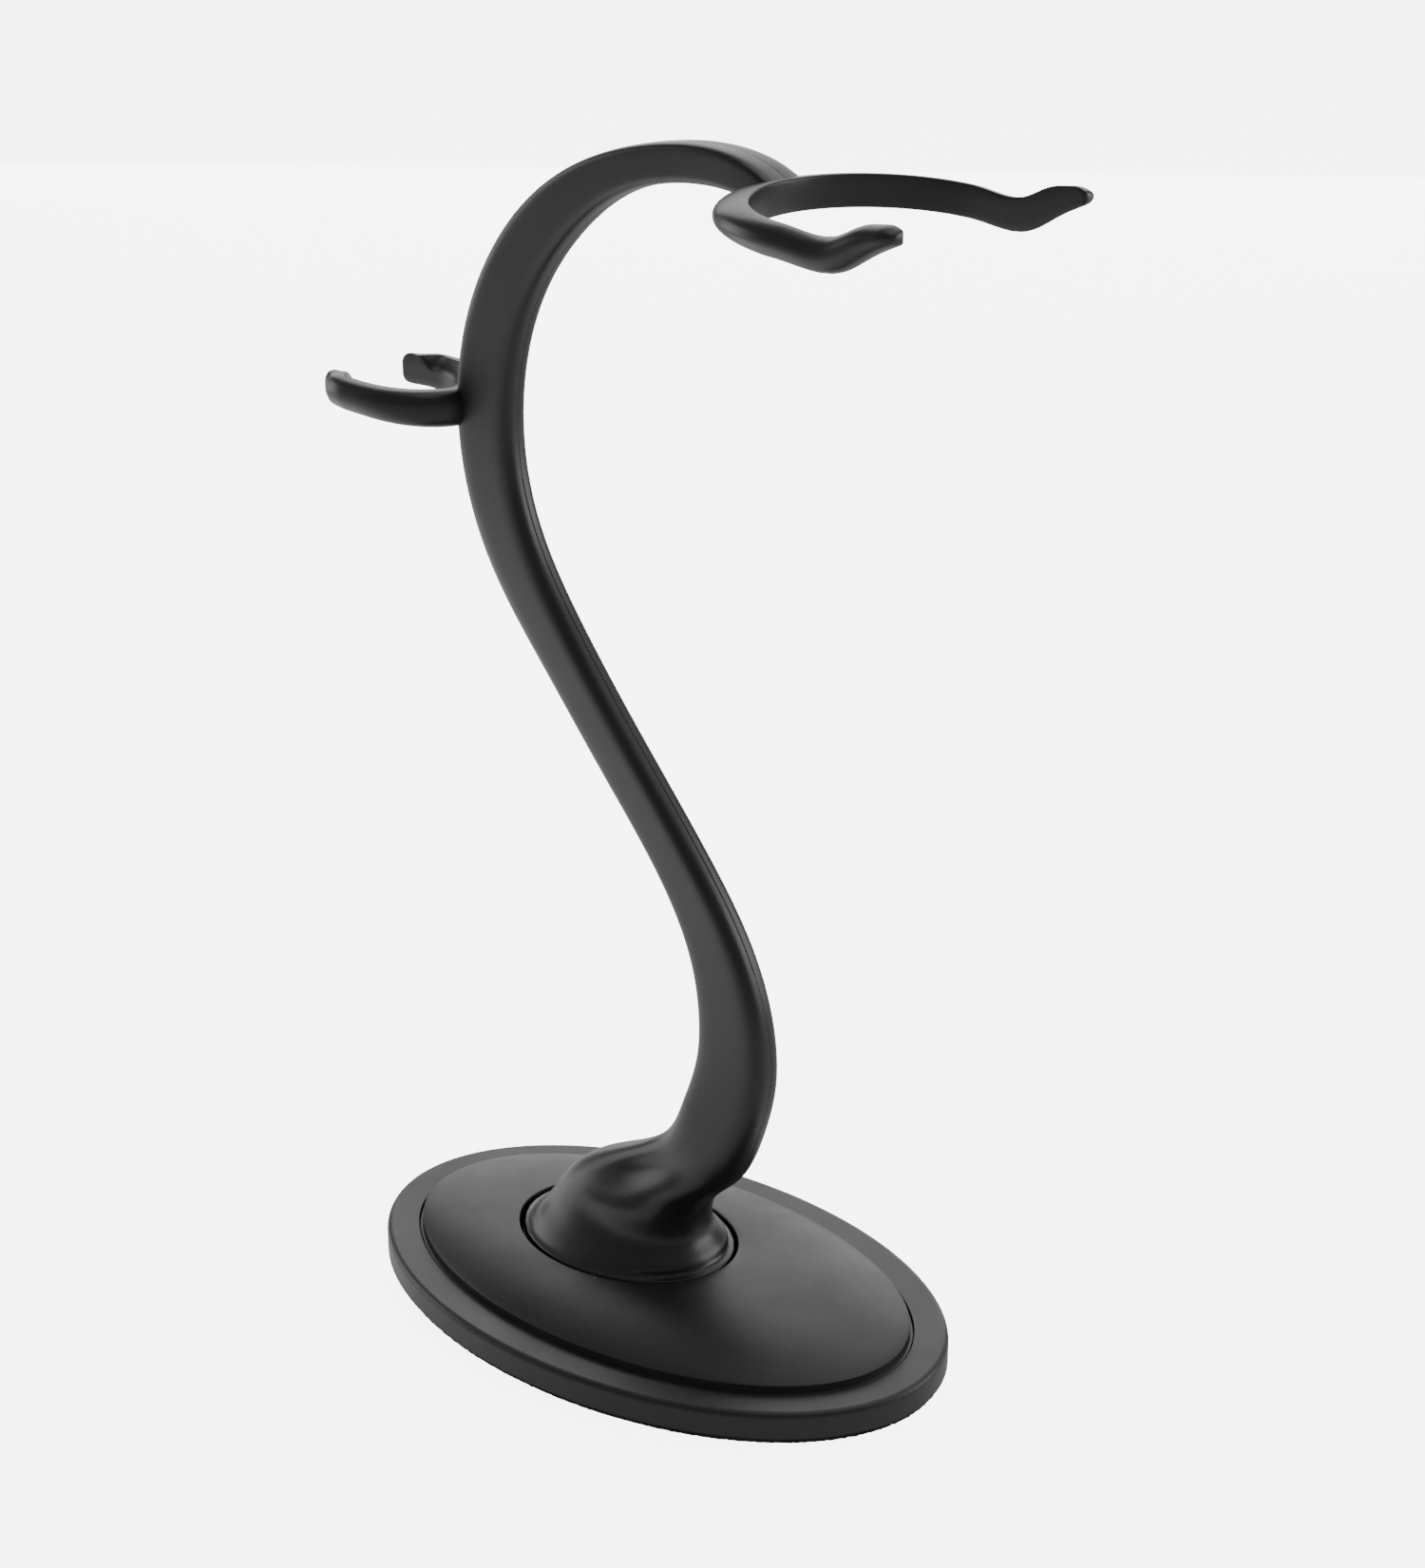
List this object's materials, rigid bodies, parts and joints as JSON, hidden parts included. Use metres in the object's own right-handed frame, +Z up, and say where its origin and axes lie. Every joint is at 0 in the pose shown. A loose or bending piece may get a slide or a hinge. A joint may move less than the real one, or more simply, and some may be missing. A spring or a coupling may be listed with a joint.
{
  "type": "headphone stand",
  "caption": "Free-standing headphone stand: oval weighted base with a domed cover, S-shaped stem on an oval foot, forked headband rest in front and a small forked hook behind.",
  "frame": {"origin": "centre of the oval base's underside, on the surface it stands on", "axes": "+Z up, +X towards the front fork's open end, Y across, and the stand is symmetrical about Y = 0"},
  "size_m": [0.1954, 0.108, 0.2983],
  "materials": {
    "shell_plastic": "satin black moulded plastic",
    "stem_plastic": "satin black moulded plastic",
    "fork_plastic": "satin black moulded plastic",
    "hook_plastic": "satin black moulded plastic",
    "foam": "closed-cell foam sheet with cut edge",
    "adhesive": "double-sided film",
    "steel_plate": "rolled steel with cut edges",
    "brass_insert": "knurled brass",
    "zinc_screw": "zinc-plated steel"
  },
  "bodies": {
    "root": {"base_frame": "shell_plastic", "dome_cover": "shell_plastic", "stem": "stem_plastic", "front_fork": "fork_plastic", "rear_hook": "hook_plastic", "foot_pad": "foam", "pad_adhesive": "adhesive", "counterweight": "steel_plate", "stem_inserts": "brass_insert", "stem_screws": "zinc_screw", "weight_screws": "zinc_screw", "cover_screws": "zinc_screw"}
  },
  "joints": []
}
